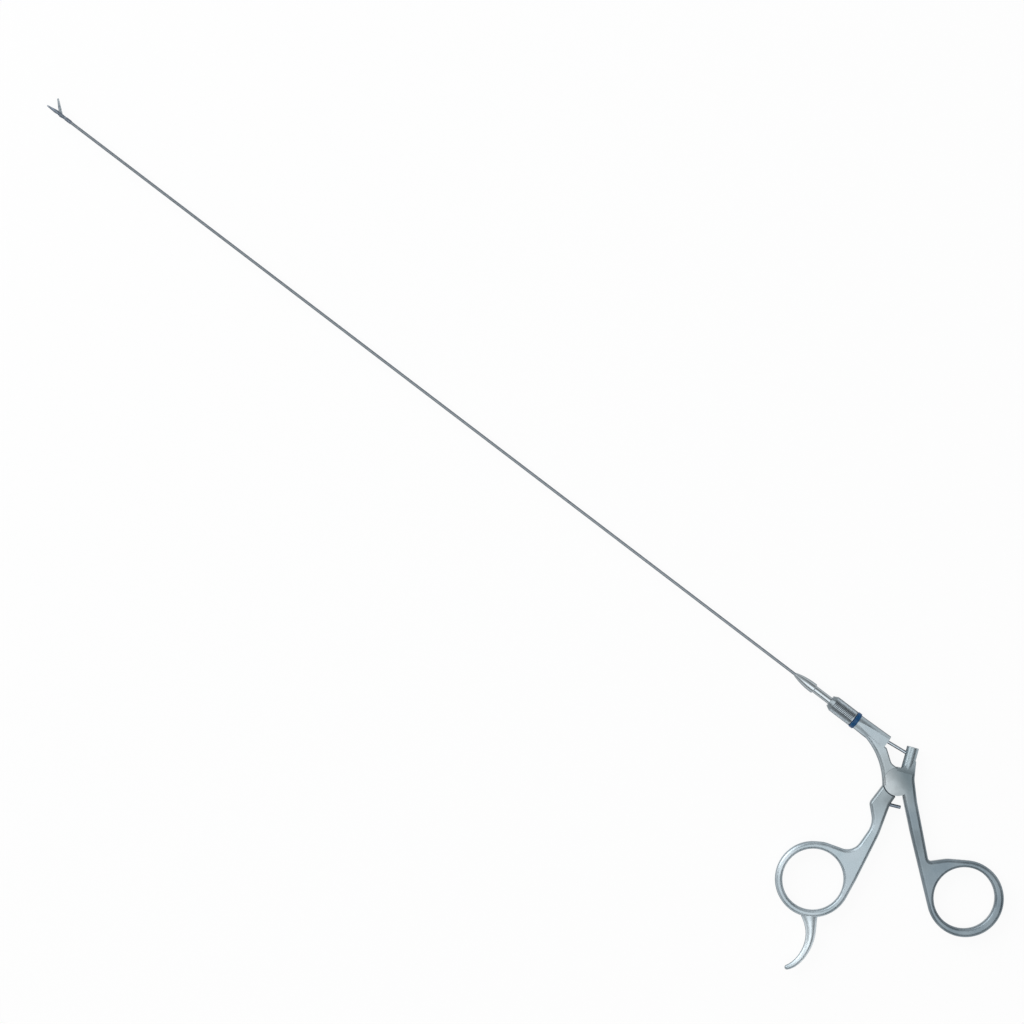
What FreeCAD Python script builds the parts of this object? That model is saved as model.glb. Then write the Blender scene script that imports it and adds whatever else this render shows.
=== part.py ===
import FreeCAD, Part
import os
from math import acos, atan2, cos, degrees, pi, radians, sin, sqrt, tan
from FreeCAD import Vector

# Endoscopic scissor forceps, in millimetres.
# X runs along the shaft from the jaw back to the handle, the levers lie in the XY plane and Z is up.
# The pieces are drawn about the shaft's axis, with X = 0 at the middle of the colour ring. At the end
# they are moved so that the origin lies under the middle of the whole instrument's box.

# Insertion part
working_length = 399.0      # jaw tip to nose tip
sheath_od = 1.26
sheath_bore = 0.90
wire_diameter = 0.50
head_od = 1.60
head_length = 12.5          # rear of the collar to the tip of the fixed jaw
collar_length = 2.8
collar_chamfer = 0.08
collar_slope = 0.45         # length of the slope from the collar down to the waist
waist_length = 0.90
fork_rear = 0.5             # behind the pivot, where the fork reaches its full size
fork_front = 1.0            # in front of the pivot
fork_inset = 0.03           # how much the fork is thinner than the collar, all round
waist_diameter = 1.38
channel_clearance = 0.01    # of the head's wire channel over the sheath's bore
nose_lip = 0.16             # wall of the nose at its tip, round the sheath
sheath_in_collar = 1.6      # how deep the sheath is soldered into the collar
slot_wall = 0.15            # solid collar left between the blade's slot and the collar's front edge
channel_lead = 0.6          # how far the wire channel runs on into the blade's slot

# Blade and its drive
blade_pivot_at = 5.44       # from the rear of the collar to the blade's pivot
blade_length = 7.16         # pivot to blade tip
blade_root_radius = 0.78
blade_tip_radius = 0.37
blade_thickness = 0.36
blade_shoulder = 0.6        # in front of the pivot, where the blade begins to narrow
blade_edge_width = 0.30     # ground bevel along the cutting side
blade_edge_height = 0.288
blade_closing = 45.0        # degrees from open to closed
blade_gap = 0.02            # side clearance of the blade in its slot
jaw_face = 0.06             # height of the fixed jaw's flat face above the shaft's axis
tab_thickness = 0.20
tab_width = 0.52
tab_block_front = 1.66      # step from the flat tab to its sleeve, behind the pivot
tab_block_rear = 2.08
tab_sleeve_diameter = 0.72
tab_sleeve_end = 3.60
wire_stop = 0.30            # how far behind the step the wire's end lies
pivot_pin_diameter = 0.36
drive_pin_diameter = 0.26
pivot_pin_recess = 0.05     # how far the pivot pin's ends lie below the head's rounding
drive_pin_recess = 0.005
drive_pin_open = 0.52       # drive pin behind the pivot, blade open
drive_pin_closed = 0.90     # drive pin behind the pivot, blade closed
slot_play = 0.03

# Nose, stem and knurled sleeve
nose_length = 10.3
nose_land = 1.2             # straight part behind the ogive
nose_chamfer = 0.3
nose_diameter = 4.4
stem_length = 8.4
stem_diameter = 3.25
stem_in_nose = 2.2
sleeve_length = 12.4
sleeve_diameter = 7.0
sleeve_bore = 4.4
sleeve_front_wall = 0.9     # wall of the sleeve at its front face, round the stem
sleeve_rear_chamfer = 0.25
sleeve_chamfer_length = 1.9
flute_count = 36
flute_depth = 0.22
flute_flank_angle = 37.0    # of each flank from the flute's middle
flute_margin = 0.6          # plain part behind the flutes
sleeve_gap = 0.08

# Colour ring and barrel
ring_width = 2.0
ring_seat_diameter = 6.0
ring_wall = 0.75
ring_corner = 0.25
barrel_front_diameter = 6.5
barrel_rear_diameter = 7.3
barrel_length = 15.2
neck_thickness = 5.8
neck_front = 3.0            # where the neck's outline begins inside the barrel
neck_top = 1.2
journal_diameter = 4.9
journal_length = 7.8
journal_clearance = 0.04
seal_section = 0.50
seal_at = 2.0
seal_play = 0.1             # room for the seal along its groove
retainer_width = 0.5
retainer_height = 0.7
retainer_at = 5.0
retainer_gap_angle = 40.0
groove_play = 0.05

# Drive rod and its swivel
rod_diameter = 1.4
rod_bend_at = 7.0
rod_rise_angle = 6.4        # degrees that the rod climbs towards the stub
rod_hole_play = 0.30
cup_diameter = 2.8
cup_front = 1.0
cup_length = 3.2
cup_wall = 0.45
cup_play = 0.4              # room in front of and behind the cup's travel
chamber_beyond_bend = 2.0   # how far the barrel's chamber runs on behind the rod's bend
ferrule_diameter = 1.7
ferrule_length = 0.75
ball_diameter = 3.0
ball_play = 0.10
rod_seal_width = 0.7
running_clearance = 0.05

# Box joint
hub = Vector(29.8, -9.9, 0)
hub_radius = 6.0
lever_start = 233           # angles about the hub between which the front lever begins
lever_end = 300
cheek_start = 140           # angles between which the cheeks carry on the neck's outline
cheek_end = 232
pocket_start = 125          # angles that the web's pocket is open over
pocket_end = 313
window_end = Vector(25.9, -5.3, 0)
window_rounding = 0.6
hub_gap = 0.08              # gap between the thumb handle's cheeks and the neck
lever_gap = 0.5             # wider gap at the top of the front lever
web_thickness = 2.4
web_radius = 5.0
web_gap = 0.06
web_overlap = 0.4           # how far the web reaches into the front lever
web_start = 236             # angles about the hub between which it does
web_end = 298
rivet_diameter = 2.6
rivet_clearance = 0.03
rivet_recess = 0.02         # how far the rivet's ends lie below the cheeks
closing_angle = 7.0         # degrees that the thumb handle turns from open to closed

# Stub with the rod's ball
stub_top = Vector(26.4, 5.7, 0)
stub_lean = 112.0           # degrees from +X to the stub's axis
stub_diameter = 5.2
stub_length = 11.0
stub_bore_depth = 8.6
ramp_start = 4.4            # from the hub towards the stub, where the lever's flat begins to fall
ramp_length = 6.5
ramp_thickness = 3.6        # of the lever at the end of the ramp, under the stub's crown
cap_thickness = 0.7
cap_rounding = 0.25
cap_plug_length = 1.1
rod_slot_play = 0.25
slot_margin = 0.95          # wall left above and below the rod's slot

# Levers and finger rings
front_ring = Vector(26.5, -64.6, 0)
thumb_ring = Vector(82.3, -32.0, 0)
thumb_ring_outer = Vector(83.0, -32.0, 0)
finger_hole_radius = 13.05
front_ring_radius = 16.1
thumb_ring_radius = 16.25
front_lever_thickness = 5.2     # at the hub
thumb_lever_thickness = 5.8     # at the hub
ring_thickness = 4.5            # at the far side of each ring
edge_rounding = 1.45
hole_rounding = 1.2
neck_rounding = 1.8
stop_stud_diameter = 1.5
stop_root = Vector(31.8, -20.35, 0)
stop_angle = 23.4
stop_play = 0.06
stop_rounding = 0.2

# Stations along the shaft
barrel_front = -ring_width / 2
sleeve_rear = barrel_front - sleeve_gap
sleeve_front = sleeve_rear - sleeve_length
nose_rear = sleeve_front - stem_length
nose_tip = nose_rear - nose_length
collar_rear = nose_tip - working_length + head_length
blade_pivot = collar_rear - blade_pivot_at
barrel_rear = ring_width / 2 + barrel_length
journal_rear = barrel_front + journal_length
sheath_rear = barrel_front
through = 10.0              # half the height of a tool that cuts right through

# Motion worked out from the sizes
ball_line = tan(radians(rod_rise_angle))
stub_axis = Vector(cos(radians(stub_lean)), sin(radians(stub_lean)), 0)
stub_side = Vector(sin(radians(stub_lean)), -cos(radians(stub_lean)), 0)
wire_travel = drive_pin_closed - drive_pin_open
chamber_radius = cup_diameter / 2 + 2 * running_clearance


def ball_place():
    """Where the rod's line meets the axis of the stub's bore."""
    depth = (stub_top.y - ball_line * (stub_top.x - rod_bend_at)) / (stub_axis.y - ball_line * stub_axis.x)
    return stub_top - stub_axis * depth


def rod_travel():
    """How far the ball moves back while the thumb handle closes."""
    ball = ball_place() - hub
    offset = (stub_top - hub).dot(stub_side)
    turned = radians(stub_lean - closing_angle)
    ball_x = (offset + cos(turned) * ball.y) / sin(turned)
    return ball_x - ball.x


def along_shaft(radius, start, end):
    """Cylinder about the shaft's axis between two stations."""
    return Part.makeCylinder(radius, end - start, Vector(start, 0, 0), Vector(1, 0, 0))


def turned(profile):
    """Solid of revolution about the shaft's axis from (x, radius) corners."""
    corners = [Vector(x, r, 0) for x, r in profile]
    face = Part.Face(Part.makePolygon(corners + corners[:1]))
    return face.revolve(Vector(0, 0, 0), Vector(1, 0, 0), 360)


def upright(centre, radius, low, high):
    """Cylinder along Z."""
    return Part.makeCylinder(radius, high - low, Vector(centre.x, centre.y, low))


def on_circle(centre, radius, angle):
    return centre + Vector(cos(radians(angle)), sin(radians(angle)), 0) * radius


def arc(centre, radius, start, end):
    middle = (start + end) / 2
    points = [on_circle(centre, radius, a) for a in (start, middle, end)]
    return Part.Arc(*points).toShape()


def curve(points):
    """Smooth edge through the points."""
    spline = Part.BSplineCurve()
    spline.interpolate(Points=[Vector(p[0], p[1], 0) for p in points])
    return spline.toShape()


def tangent_point(point, centre, radius, side):
    """Where a line from the point touches the circle, to the left (1) or right (-1) of the centre's line."""
    away = point - centre
    angle = atan2(away.y, away.x) + side * acos(radius / away.Length)
    return centre + Vector(cos(angle), sin(angle), 0) * radius


def angle_about(centre, point):
    return degrees(atan2(point.y - centre.y, point.x - centre.x)) % 360


def bent_path(start, corners, end):
    """Straight runs joined by tangent arcs. Each corner is (x, y, bend radius)."""
    places = [start] + [Vector(x, y, 0) for x, y, bend in corners] + [end]
    edges = []
    here = start
    for i, (x, y, bend) in enumerate(corners):
        corner = places[i + 1]
        incoming = (corner - places[i]).normalize()
        outgoing = (places[i + 2] - corner).normalize()
        turn = incoming.getAngle(outgoing)
        setback = bend * tan(turn / 2)
        first = corner - incoming * setback
        last = corner + outgoing * setback
        inward = (outgoing - incoming).normalize()
        middle = corner + inward * (bend / cos(turn / 2) - bend)
        edges += [line(here, first), Part.Arc(first, middle, last).toShape()]
        here = last
    return edges + [line(here, end)]


def line(a, b):
    return Part.makeLine(a, b)


def plate(edges, low, high):
    """Plate of the closed outline between two heights."""
    face = Part.Face(Part.Wire(Part.__sortEdges__(edges)))
    face.translate(Vector(0, 0, low))
    return face.extrude(Vector(0, 0, high - low))


def tapered_slab(origin, angle, end, thick, thin):
    """Wide slab, even behind the origin and thinning in front of it along a direction in the XY plane."""
    width = 12 * thumb_ring_radius
    start = -width / 2
    outline = [(start, thick / 2), (0, thick / 2), (end, thin / 2), (end, -thin / 2), (0, -thick / 2),
               (start, -thick / 2)]
    corners = [Vector(x, -width / 2, z) for x, z in outline]
    slab = Part.Face(Part.makePolygon(corners + corners[:1])).extrude(Vector(0, width, 0))
    slab.rotate(Vector(0, 0, 0), Vector(0, 0, 1), angle)
    slab.translate(origin)
    return slab


def rounded(solid, radius, wanted):
    """Rounds the edges of the top and bottom faces that the test picks."""
    edges = [e for e in solid.Edges if abs(edge_middle(e).z) > 1.0 and not is_upright(e) and wanted(e)]
    return solid.makeFillet(radius, edges)


def edge_middle(edge):
    return edge.valueAt((edge.FirstParameter + edge.LastParameter) / 2)


def is_upright(edge):
    rise = edge.valueAt(edge.LastParameter) - edge.valueAt(edge.FirstParameter)
    return abs(rise.z) > 1.0


def is_hole(edge, centre, radius):
    return abs((Vector(edge_middle(edge).x, edge_middle(edge).y, 0) - centre).Length - radius) < 0.05


def one_solid(shape):
    """The single solid in a result, with its split faces joined."""
    shape = shape.removeSplitter()
    if len(shape.Solids) != 1:
        raise ValueError("expected one solid, got %d" % len(shape.Solids))
    return shape.Solids[0]


def ellipse_wire(centre, direction, half_width, half_height):
    """Upright ellipse across a direction of travel in the XY plane."""
    across = Vector(-direction.y, direction.x, 0)
    half_width = max(half_width, half_height + 0.01)
    ellipse = Part.Ellipse(centre + across * half_width, centre + Vector(0, 0, half_height), centre)
    return Part.Wire(ellipse.toShape())


def is_over(edge, plan_edges):
    """Whether an edge lies over or under one of the plan's edges."""
    middle = edge_middle(edge)
    spot = Part.Vertex(middle.x, middle.y, 0)
    return any(spot.distToShape(plan)[0] < 0.02 for plan in plan_edges)


# Neck: one outline shared by the fixed handle and, inside the hub circle, by the thumb handle's cheeks
def neck_blank():
    half = neck_thickness / 2
    top_left = Vector(neck_front, neck_top, 0)
    top_right = Vector(barrel_rear, neck_top, 0)
    window_start = Vector(barrel_rear, -1.3, 0)
    lever_corner = on_circle(hub, hub_radius + lever_gap, lever_start)
    lower_left = Vector(neck_front, -2.6, 0)
    window = bent_path(window_start, [(17.5, -1.4, 1.5), (22.9, -5.3, 3.0)], window_end)
    lower = [Part.Arc(lower_left, Vector(16.6, -6.7, 0), lever_corner).toShape()]
    outline = [line(top_left, top_right), line(top_right, window_start)] + window
    outline += [line(window_end, hub), line(hub, lever_corner)] + lower + [line(lower_left, top_left)]
    blank = plate(outline, -half, half)
    blank = rounded(blank, neck_rounding, lambda e: is_over(e, lower))
    return rounded(blank, window_rounding, lambda e: is_over(e, window))


def front_lever():
    """Front lever with its finger ring, without the web."""
    top_left = on_circle(hub, hub_radius + lever_gap, lever_start)
    top_right = on_circle(hub, hub_radius + lever_gap, lever_end)
    last_left = Vector(21.0, -49.0, 0)
    first_right = Vector(41.2, -54.0, 0)
    meet = tangent_point(last_left, front_ring, front_ring_radius, 1)
    leave = tangent_point(first_right, front_ring, front_ring_radius, -1)
    left = bent_path(top_left, [(top_left.x, -24.2, 2.5), (32.7, -30.6, 9.0), (33.3, -45.2, 6.5),
                                (last_left.x, last_left.y, 12.0)], meet)
    right = bent_path(leave, [(first_right.x, first_right.y, 30.0), (37.2, -32.6, 30.0), (33.2, -19.4, 6.0)],
                      top_right)
    ring = arc(front_ring, front_ring_radius, angle_about(front_ring, meet),
               angle_about(front_ring, leave) + 360)
    top = arc(hub, hub_radius + lever_gap, lever_start, lever_end)
    blank = plate(left + [ring] + right + [top], -front_lever_thickness, front_lever_thickness)
    blank = blank.cut(upright(front_ring, finger_hole_radius, -through, through))
    reach = hub.y - front_ring.y + front_ring_radius + 1
    slab = tapered_slab(hub, -90, reach, front_lever_thickness, ring_thickness)
    blank = one_solid(blank.common(slab))
    blank = rounded(blank, edge_rounding, lambda e: is_over(e, left + [ring] + right))
    return rounded(blank, hole_rounding, lambda e: is_hole(e, front_ring, finger_hole_radius))


def finger_hook():
    """Hook below the finger ring: ellipses along a curve, with a round end."""
    places = [(34.6, -77.6), (38.1, -81.4), (40.7, -85.4), (42.2, -90.0), (42.5, -94.6), (41.6, -98.9),
              (40.4, -101.0)]
    half_widths = [3.6, 2.4, 1.95, 1.65, 1.45, 1.25, 1.06]
    half_heights = [2.0, 1.9, 1.75, 1.55, 1.35, 1.2, 1.05]
    spots = [Vector(x, y, 0) for x, y in places]
    wires = []
    for i, spot in enumerate(spots):
        before = spots[max(i - 1, 0)]
        after = spots[min(i + 1, len(spots) - 1)]
        direction = (after - before).normalize()
        wires.append(ellipse_wire(spot, direction, half_widths[i], half_heights[i]))
    hook = Part.makeLoft(wires, True, False)
    return hook.fuse(Part.makeSphere(half_heights[-1] + 0.005, spots[-1]))


def fixed_web():
    """Flat web at half height that carries the rivet between the thumb handle's cheeks."""
    half = web_thickness / 2
    reach = hub_radius + lever_gap + web_overlap
    start = on_circle(hub, reach, web_start)
    end = on_circle(hub, reach, web_end)
    corner = on_circle(hub, hub_radius + lever_gap, lever_start)
    outline = [line(hub, corner), line(corner, start), arc(hub, reach, web_start, web_end), line(end, hub)]
    return plate(outline, -half, half).fuse(upright(hub, web_radius, -half, half))


def rod_line(x):
    return Vector(x, ball_line * (x - rod_bend_at), 0)


def fixed_handle():
    front = ring_width / 2
    cone = turned([(front, 0), (front, barrel_front_diameter / 2), (barrel_rear, barrel_rear_diameter / 2),
                   (barrel_rear, 0)])
    slope = [Vector(front, -through, barrel_front_diameter / 2),
             Vector(barrel_rear, -through, neck_thickness / 2), Vector(barrel_rear, -through, through),
             Vector(front, -through, through)]
    flat = Part.Face(Part.makePolygon(slope + slope[:1])).extrude(Vector(0, 2 * through, 0))
    body = cone.cut(flat).cut(flat.mirror(Vector(0, 0, 0), Vector(0, 0, 1)))
    body = body.fuse(along_shaft(ring_seat_diameter / 2, barrel_front, ring_width))
    body = body.fuse(neck_blank())
    above = web_thickness / 2
    for low, high in ((above, through), (-through, -above)):
        body = body.cut(upright(hub, hub_radius + hub_gap, low, high))
    body = body.fuse([fixed_web(), front_lever(), finger_hook()])
    body = body.cut(upright(front_ring, finger_hole_radius, -through, through))
    body = body.cut(upright(hub, rivet_diameter / 2 + rivet_clearance, -through, through))
    bore_radius = journal_diameter / 2 + journal_clearance
    body = body.cut(along_shaft(bore_radius, barrel_front - 1, journal_rear + groove_play))
    body = body.cut(along_shaft(chamber_radius, journal_rear - 1, rod_bend_at + chamber_beyond_bend))
    hole = Part.makeCylinder(rod_diameter / 2 + rod_hole_play, barrel_rear, rod_line(rod_bend_at),
                             Vector(1, ball_line, 0))
    body = body.cut(hole)
    groove_radius = journal_diameter / 2 + retainer_height / 2 + groove_play
    groove_end = retainer_at + retainer_width + groove_play
    body = body.cut(along_shaft(groove_radius, retainer_at - groove_play, groove_end))
    body = body.cut(stop_stud())
    return one_solid(body)


def stop_length():
    """Length of the stop stud, so that the thumb lever meets its end when closed."""
    direction = Vector(cos(radians(stop_angle)), sin(radians(stop_angle)), 0)
    edge_start = turn_about_hub(Vector(38.2, -16.1, 0))
    edge_end = turn_about_hub(Vector(42.2, -19.55, 0))
    along = (edge_end - edge_start).normalize()
    normal = Vector(-along.y, along.x, 0)
    reach = (edge_start - stop_root).dot(normal) - stop_play
    corner = stop_stud_diameter / 2 * abs(along.dot(direction))
    return (reach - corner) / direction.dot(normal)


def turn_about_hub(point):
    """Where a point of the open thumb handle lies when the handle is closed."""
    turned_point = FreeCAD.Rotation(Vector(0, 0, 1), -closing_angle).multVec(point - hub)
    return hub + turned_point


def stop_stud():
    direction = Vector(cos(radians(stop_angle)), sin(radians(stop_angle)), 0)
    stud = Part.makeCylinder(stop_stud_diameter / 2, stop_length(), stop_root, direction)
    end_rim = [e for e in stud.Edges if edge_middle(e).x > stop_root.x + 1 and e.Length < 6]
    return stud.makeFillet(stop_rounding, end_rim)


def thumb_lever():
    """Hub's right side, thumb lever and thumb ring as one blank with rounded edges."""
    start_angle = 110
    root_angle = 328
    lever_root = on_circle(hub, hub_radius, root_angle)
    last_left = Vector(47.0, -23.6, 0)
    first_right = Vector(66.6, -23.2, 0)
    meet = tangent_point(last_left, thumb_ring_outer, thumb_ring_radius, 1)
    leave = tangent_point(first_right, thumb_ring_outer, thumb_ring_radius, -1)
    stub_edge = Vector(31.0, 1.6, 0)
    inner = Vector(29.2, 0.8, 0)
    left = bent_path(lever_root, [(last_left.x, last_left.y, 60.0)], meet)
    right = bent_path(leave, [(first_right.x, first_right.y, 12.0), (60.9, -28.9, 1.6), (41.5, -11.6, 40.0),
                              (35.0, -4.9, 12.0)], stub_edge)
    ring = arc(thumb_ring_outer, thumb_ring_radius, angle_about(thumb_ring_outer, meet),
               angle_about(thumb_ring_outer, leave) + 360)
    rim = arc(hub, hub_radius, start_angle, root_angle)
    base = [line(stub_edge, inner), line(inner, on_circle(hub, hub_radius, start_angle))]
    blank = plate([rim] + left + [ring] + right + base, -thumb_lever_thickness, thumb_lever_thickness)
    blank = blank.cut(upright(thumb_ring, finger_hole_radius, -through, through))
    line_of_lever = thumb_ring - hub
    angle = degrees(atan2(line_of_lever.y, line_of_lever.x))
    reach = line_of_lever.Length + thumb_ring_radius + 1
    slab = tapered_slab(hub, angle, reach, thumb_lever_thickness, ring_thickness)
    ramp = tapered_slab(hub + stub_axis * ramp_start, stub_lean, ramp_length, thumb_lever_thickness,
                        ramp_thickness)
    blank = one_solid(blank.common(slab))
    blank = rounded(blank, edge_rounding, lambda e: is_over(e, left + [ring] + right))
    blank = rounded(blank, hole_rounding, lambda e: is_hole(e, thumb_ring, finger_hole_radius))
    return one_solid(blank.common(ramp))


def web_pocket():
    """Slot between the cheeks: a round pocket about the hub, open over the web's sweep."""
    half = web_thickness / 2 + web_gap
    sweep = sector(hub_radius * 2, pocket_start, pocket_end, half)
    return sweep.fuse(upright(hub, web_radius + web_gap, -half, half))


def sector(radius, start, end, half):
    """Slice of a disc about the hub between two angles."""
    rim = arc(hub, radius, start, end)
    outline = [line(hub, on_circle(hub, radius, start)), rim, line(on_circle(hub, radius, end), hub)]
    return plate(outline, -half, half)


def stub_frame(shape):
    """Places a shape drawn down from the origin along +X onto the stub, from its top downwards."""
    shape.rotate(Vector(0, 0, 0), Vector(0, 0, 1), stub_lean + 180)
    shape.translate(stub_top)
    return shape


def thumb_handle():
    hub_circle = upright(hub, hub_radius, -through, through)
    stub = Part.makeCylinder(stub_diameter / 2, stub_length, Vector(cap_thickness, 0, 0), Vector(1, 0, 0))
    left_side = neck_blank().common(hub_circle)
    body = thumb_lever().fuse([stub_frame(stub)])
    covered = sector(hub_radius * 2, cheek_start, cheek_end, through)
    body = body.cut(covered).fuse(left_side)
    body = body.cut(web_pocket())
    body = body.cut(upright(hub, rivet_diameter / 2, -through, through))
    bore_radius = ball_diameter / 2 + ball_play
    bore = Part.makeCylinder(bore_radius, stub_bore_depth + 1, Vector(-1, 0, 0), Vector(1, 0, 0))
    slot_half = rod_diameter / 2 + rod_slot_play
    slot_start = cap_thickness + slot_margin
    slot_end = stub_bore_depth - slot_margin - slot_half
    slot = Part.makeBox(slot_end - slot_start, stub_diameter, 2 * slot_half,
                        Vector(slot_start, 0, -slot_half))
    slot = slot.fuse(Part.makeCylinder(slot_half, stub_diameter, Vector(slot_end, 0, 0), Vector(0, 1, 0)))
    slot.rotate(Vector(0, 0, 0), Vector(1, 0, 0), 180)
    body = body.cut(stub_frame(bore)).cut(stub_frame(slot))
    return one_solid(body)


def stub_cap():
    cap = Part.makeCylinder(stub_diameter / 2, cap_thickness, Vector(0, 0, 0), Vector(1, 0, 0))
    cap = cap.makeFillet(cap_rounding, [e for e in cap.Edges if e.Length > 8 and edge_middle(e).x < 0.1])
    plug = Part.makeCylinder(ball_diameter / 2 + ball_play, cap_plug_length, Vector(cap_thickness, 0, 0),
                             Vector(1, 0, 0))
    return stub_frame(one_solid(cap.fuse(plug)))


def pivot_rivet():
    reach = neck_thickness / 2 - rivet_recess
    return upright(hub, rivet_diameter / 2, -reach, reach)


def drive_rod():
    """Rod with the swivel cup at its front, bent where it leaves the barrel."""
    radius = rod_diameter / 2
    cup_rear = cup_front + cup_length
    cavity_front = cup_front + cup_wall
    cavity_rear = cup_rear - cup_wall
    cup = turned([(cup_front, 0), (cup_front, cup_diameter / 2), (cup_rear, cup_diameter / 2), (cup_rear, 0)])
    cup = cup.cut(along_shaft(ferrule_diameter / 2 + running_clearance, cavity_front, cavity_rear))
    cup = cup.cut(along_shaft(wire_diameter / 2 + running_clearance, cup_front - 1, cavity_front + 0.1))
    straight = along_shaft(radius, cup_rear - 0.1, rod_bend_at)
    end = ball_place()
    rise = Part.makeCylinder(radius, (end - rod_line(rod_bend_at)).Length, rod_line(rod_bend_at),
                             Vector(1, ball_line, 0))
    knee = Part.makeSphere(radius, rod_line(rod_bend_at))
    body = cup.fuse([straight, knee, rise])
    return one_solid(body.cut(Part.makeSphere(ball_diameter / 2, end)))


def drive_ball():
    return Part.makeSphere(ball_diameter / 2, ball_place())


def colour_ring():
    half = ring_width / 2
    inner = ring_seat_diameter / 2
    outer = inner + ring_wall
    corner = ring_corner
    return turned([(-half, inner), (-half, outer - corner), (-half + corner, outer), (half - corner, outer),
                   (half, outer - corner), (half, inner)])


def knurled_sleeve():
    outer = sleeve_diameter / 2
    inner = sleeve_bore / 2
    body = turned([(sleeve_front, inner), (sleeve_front, stem_diameter / 2 + sleeve_front_wall),
                   (sleeve_front + sleeve_chamfer_length, outer), (sleeve_rear - sleeve_rear_chamfer, outer),
                   (sleeve_rear, outer - sleeve_rear_chamfer), (sleeve_rear, inner)])
    rim = outer + sleeve_rear_chamfer
    half_width = (rim - outer + flute_depth) * tan(radians(flute_flank_angle))
    notch = [Vector(0, outer - flute_depth, 0), Vector(0, rim, half_width), Vector(0, rim, -half_width)]
    start = sleeve_front + sleeve_chamfer_length * 0.9
    length = sleeve_rear - flute_margin - start
    flute = Part.Face(Part.makePolygon(notch + notch[:1])).extrude(Vector(length, 0, 0))
    flute.translate(Vector(start, 0, 0))
    flutes = []
    for i in range(flute_count):
        copy = flute.copy()
        copy.rotate(Vector(0, 0, 0), Vector(1, 0, 0), i * 360 / flute_count)
        flutes.append(copy)
    return one_solid(body.cut(Part.makeCompound(flutes)))


def stem_spindle():
    """Stem, spindle in the sleeve and journal in the barrel, turned in one piece."""
    stem = stem_diameter / 2
    journal = journal_diameter / 2
    front = nose_rear - stem_in_nose
    body = turned([(front, 0), (front, stem), (sleeve_front, stem), (sleeve_front, sleeve_bore / 2),
                   (sleeve_rear, sleeve_bore / 2), (sleeve_rear, journal), (journal_rear, journal),
                   (journal_rear, 0)])
    body = body.cut(along_shaft(sheath_od / 2, front - 1, sheath_rear))
    body = body.cut(along_shaft(sheath_bore / 2, sheath_rear - 1, cup_front))
    body = body.cut(along_shaft(chamber_radius, cup_front - cup_play, journal_rear + 1))
    reach = seal_section / 2 + seal_play
    body = body.cut(groove(seal_at - reach, seal_at + reach, journal - seal_section, journal))
    floor = journal - retainer_height / 2 - groove_play
    groove_end = retainer_at + retainer_width + groove_play
    body = body.cut(groove(retainer_at - groove_play, groove_end, floor, journal))
    return one_solid(body)


def groove(start, end, floor, outer):
    return turned([(start, floor), (start, outer + 1), (end, outer + 1), (end, floor)])


def spindle_seal():
    radius = seal_section / 2
    middle = journal_diameter / 2 - seal_section + radius
    return Part.makeTorus(middle, radius, Vector(seal_at, 0, 0), Vector(1, 0, 0))


def retaining_ring():
    inner = journal_diameter / 2 - retainer_height / 2
    outer = journal_diameter / 2 + retainer_height / 2
    ring = turned([(retainer_at, inner), (retainer_at, outer), (retainer_at + retainer_width, outer),
                   (retainer_at + retainer_width, inner)])
    half = radians(retainer_gap_angle / 2)
    reach = outer + 1
    corners = [Vector(0, 0, 0), Vector(0, -reach, reach * tan(half)), Vector(0, -reach, -reach * tan(half))]
    gap = Part.Face(Part.makePolygon(corners + corners[:1])).extrude(Vector(2 * through, 0, 0))
    return one_solid(ring.cut(gap))


def rod_seal():
    inner = rod_diameter / 2 + running_clearance
    start = journal_rear - rod_seal_width
    return turned([(start, inner), (start, chamber_radius), (journal_rear, chamber_radius),
                   (journal_rear, inner)])


def nose_cone():
    """Olive: a long ogive behind a short straight land."""
    radius = nose_diameter / 2
    tip_radius = sheath_od / 2 + nose_lip
    shoulder = nose_rear - nose_land
    length = shoulder - nose_tip
    rise = radius - tip_radius
    sweep = (length ** 2 + rise ** 2) / (2 * rise)
    belly = radius - sweep + sqrt(sweep ** 2 - (length / 2) ** 2)
    ogive = Part.Arc(Vector(nose_tip, tip_radius, 0), Vector(nose_tip + length / 2, belly, 0),
                     Vector(shoulder, radius, 0)).toShape()
    corners = [Vector(shoulder, radius, 0), Vector(nose_rear - nose_chamfer, radius, 0),
               Vector(nose_rear, radius - nose_chamfer, 0),
               Vector(nose_rear, sheath_od / 2, 0), Vector(nose_tip, sheath_od / 2, 0),
               Vector(nose_tip, tip_radius, 0)]
    edges = [ogive] + [line(a, b) for a, b in zip(corners, corners[1:])]
    face = Part.Face(Part.Wire(Part.__sortEdges__(edges)))
    body = face.revolve(Vector(0, 0, 0), Vector(1, 0, 0), 360)
    return one_solid(body.cut(along_shaft(stem_diameter / 2, nose_rear - stem_in_nose, nose_rear + 1)))


def sheath_tube():
    front = collar_rear - sheath_in_collar
    tube = along_shaft(sheath_od / 2, front, sheath_rear)
    return tube.cut(along_shaft(sheath_bore / 2, front - 1, sheath_rear + 1))


def at_pivot(shape):
    """Moves a shape drawn about the blade's pivot to its place."""
    shape.translate(Vector(blade_pivot, 0, 0))
    return shape


slot_floor = jaw_face - 3 * blade_gap - blade_thickness - tab_thickness
blade_top = jaw_face - blade_gap
blade_bottom = blade_top - blade_thickness
tab_top = blade_bottom - blade_gap
tab_bottom = tab_top - tab_thickness
slot_rear = blade_pivot_at - collar_length - slot_wall   # behind the pivot


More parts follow.
